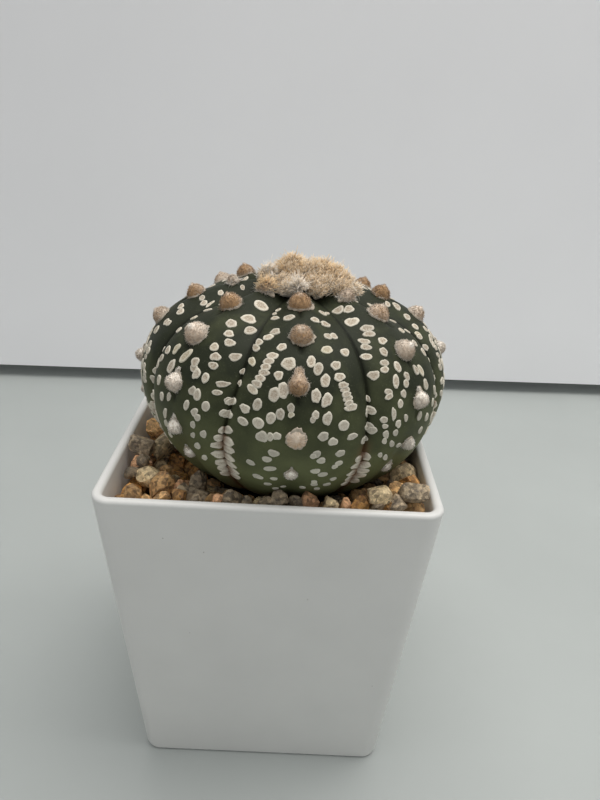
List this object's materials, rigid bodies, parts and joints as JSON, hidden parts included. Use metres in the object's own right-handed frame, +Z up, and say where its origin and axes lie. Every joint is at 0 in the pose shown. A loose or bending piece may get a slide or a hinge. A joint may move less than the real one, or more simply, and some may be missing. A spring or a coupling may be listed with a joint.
{
  "type": "potted star cactus",
  "caption": "Low domed ribbed cactus with cream scale flecks, woolly spine points and a woolly crown, rooted in gravel-topped soil in a tapered square white plastic pot.",
  "frame": {"origin": "centre of the pot's flat underside, on the surface that it stands on", "axes": "+Z up through the pot; -Y is the front, the side that the picture shows; +X is to the right seen from the front"},
  "size_m": [0.074, 0.0711, 0.1208],
  "materials": {
    "pot_plastic": "satin",
    "potting_soil": "matte",
    "gravel_stone": "matte",
    "cactus_skin": "satin",
    "areole_wool": "matte"
  },
  "bodies": {
    "root": {"pot": "pot_plastic", "soil": "potting_soil", "gravel": "gravel_stone", "cactus_body": "cactus_skin", "crown_wool": "areole_wool"}
  },
  "joints": []
}
